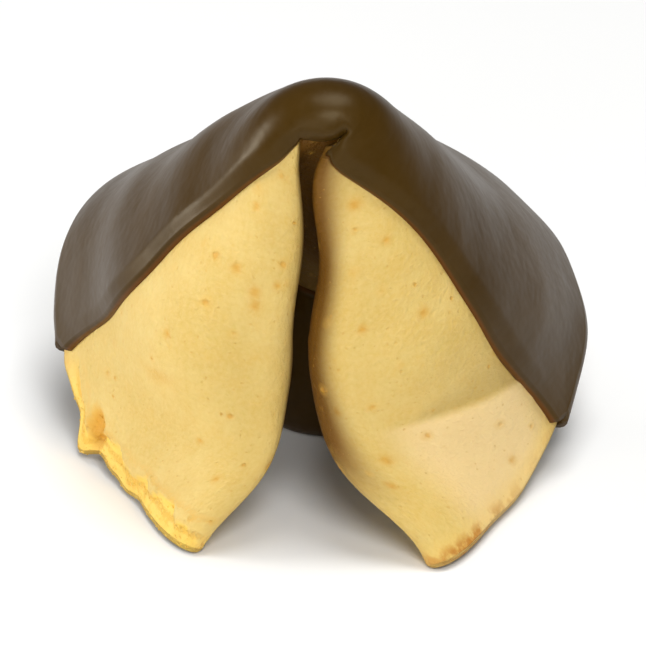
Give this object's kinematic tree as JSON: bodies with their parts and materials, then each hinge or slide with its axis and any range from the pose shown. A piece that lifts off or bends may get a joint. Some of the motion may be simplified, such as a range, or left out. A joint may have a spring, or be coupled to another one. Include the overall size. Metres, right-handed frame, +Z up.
{
  "type": "fortune cookie",
  "caption": "Folded hollow wafer cookie with two tips and an open pouch, its back half dipped in dark chocolate.",
  "frame": {"origin": "middle of the bounding box in X and Y, on the floor plane that the tips and the inner rim stand on", "axes": "+Z up, -Y out of the slit between the two folds, +Y out of the pouch's mouth, +X to the right as the slit is seen"},
  "size_m": [0.0526, 0.0544, 0.0456],
  "materials": {
    "baked_wafer": "dry, matt, finely pored baked wafer",
    "dark_chocolate": "satin set chocolate"
  },
  "bodies": {
    "root": {"wafer": "baked_wafer", "chocolate_dome": "dark_chocolate", "chocolate_inner": "dark_chocolate"}
  },
  "joints": []
}
